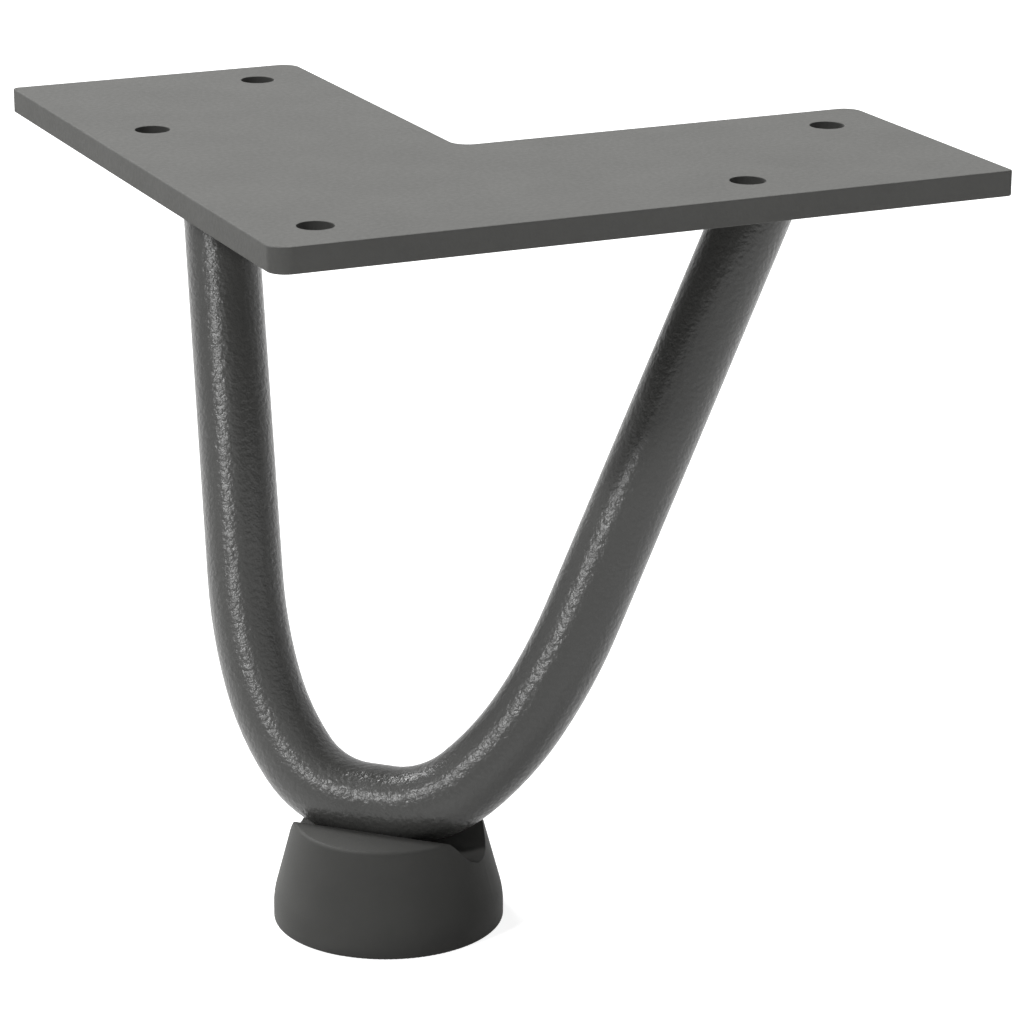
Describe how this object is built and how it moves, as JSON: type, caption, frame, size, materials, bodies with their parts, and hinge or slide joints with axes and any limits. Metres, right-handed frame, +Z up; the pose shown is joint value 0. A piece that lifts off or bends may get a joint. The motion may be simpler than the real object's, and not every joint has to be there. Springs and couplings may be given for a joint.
{
  "type": "hairpin table leg",
  "caption": "Short hairpin furniture leg: an L-shaped screw plate, a round steel rod bent into a leaning U under its corner, and a plain round foot cap.",
  "frame": {"origin": "on the mounting plate's top face, where the centre lines of its two arms cross", "axes": "+Z up out of the plate's top face, +X and +Y along the plate's two arms, the foot under the plate's outer corner"},
  "size_m": [0.12, 0.12, 0.1151],
  "materials": {
    "plate_coating": "fine matt dark grey powder coat on flat steel",
    "rod_coating": "fine matt dark grey powder coat on round steel rod",
    "weld_coating": "rippled fillet weld under the same dark grey powder coat",
    "foot_plastic": "moulded matt dark grey plastic"
  },
  "bodies": {
    "root": {"mounting_plate": "plate_coating", "hairpin_rod": "rod_coating", "weld_bead_left": "weld_coating", "weld_bead_right": "weld_coating", "foot_cap": "foot_plastic"}
  },
  "joints": []
}
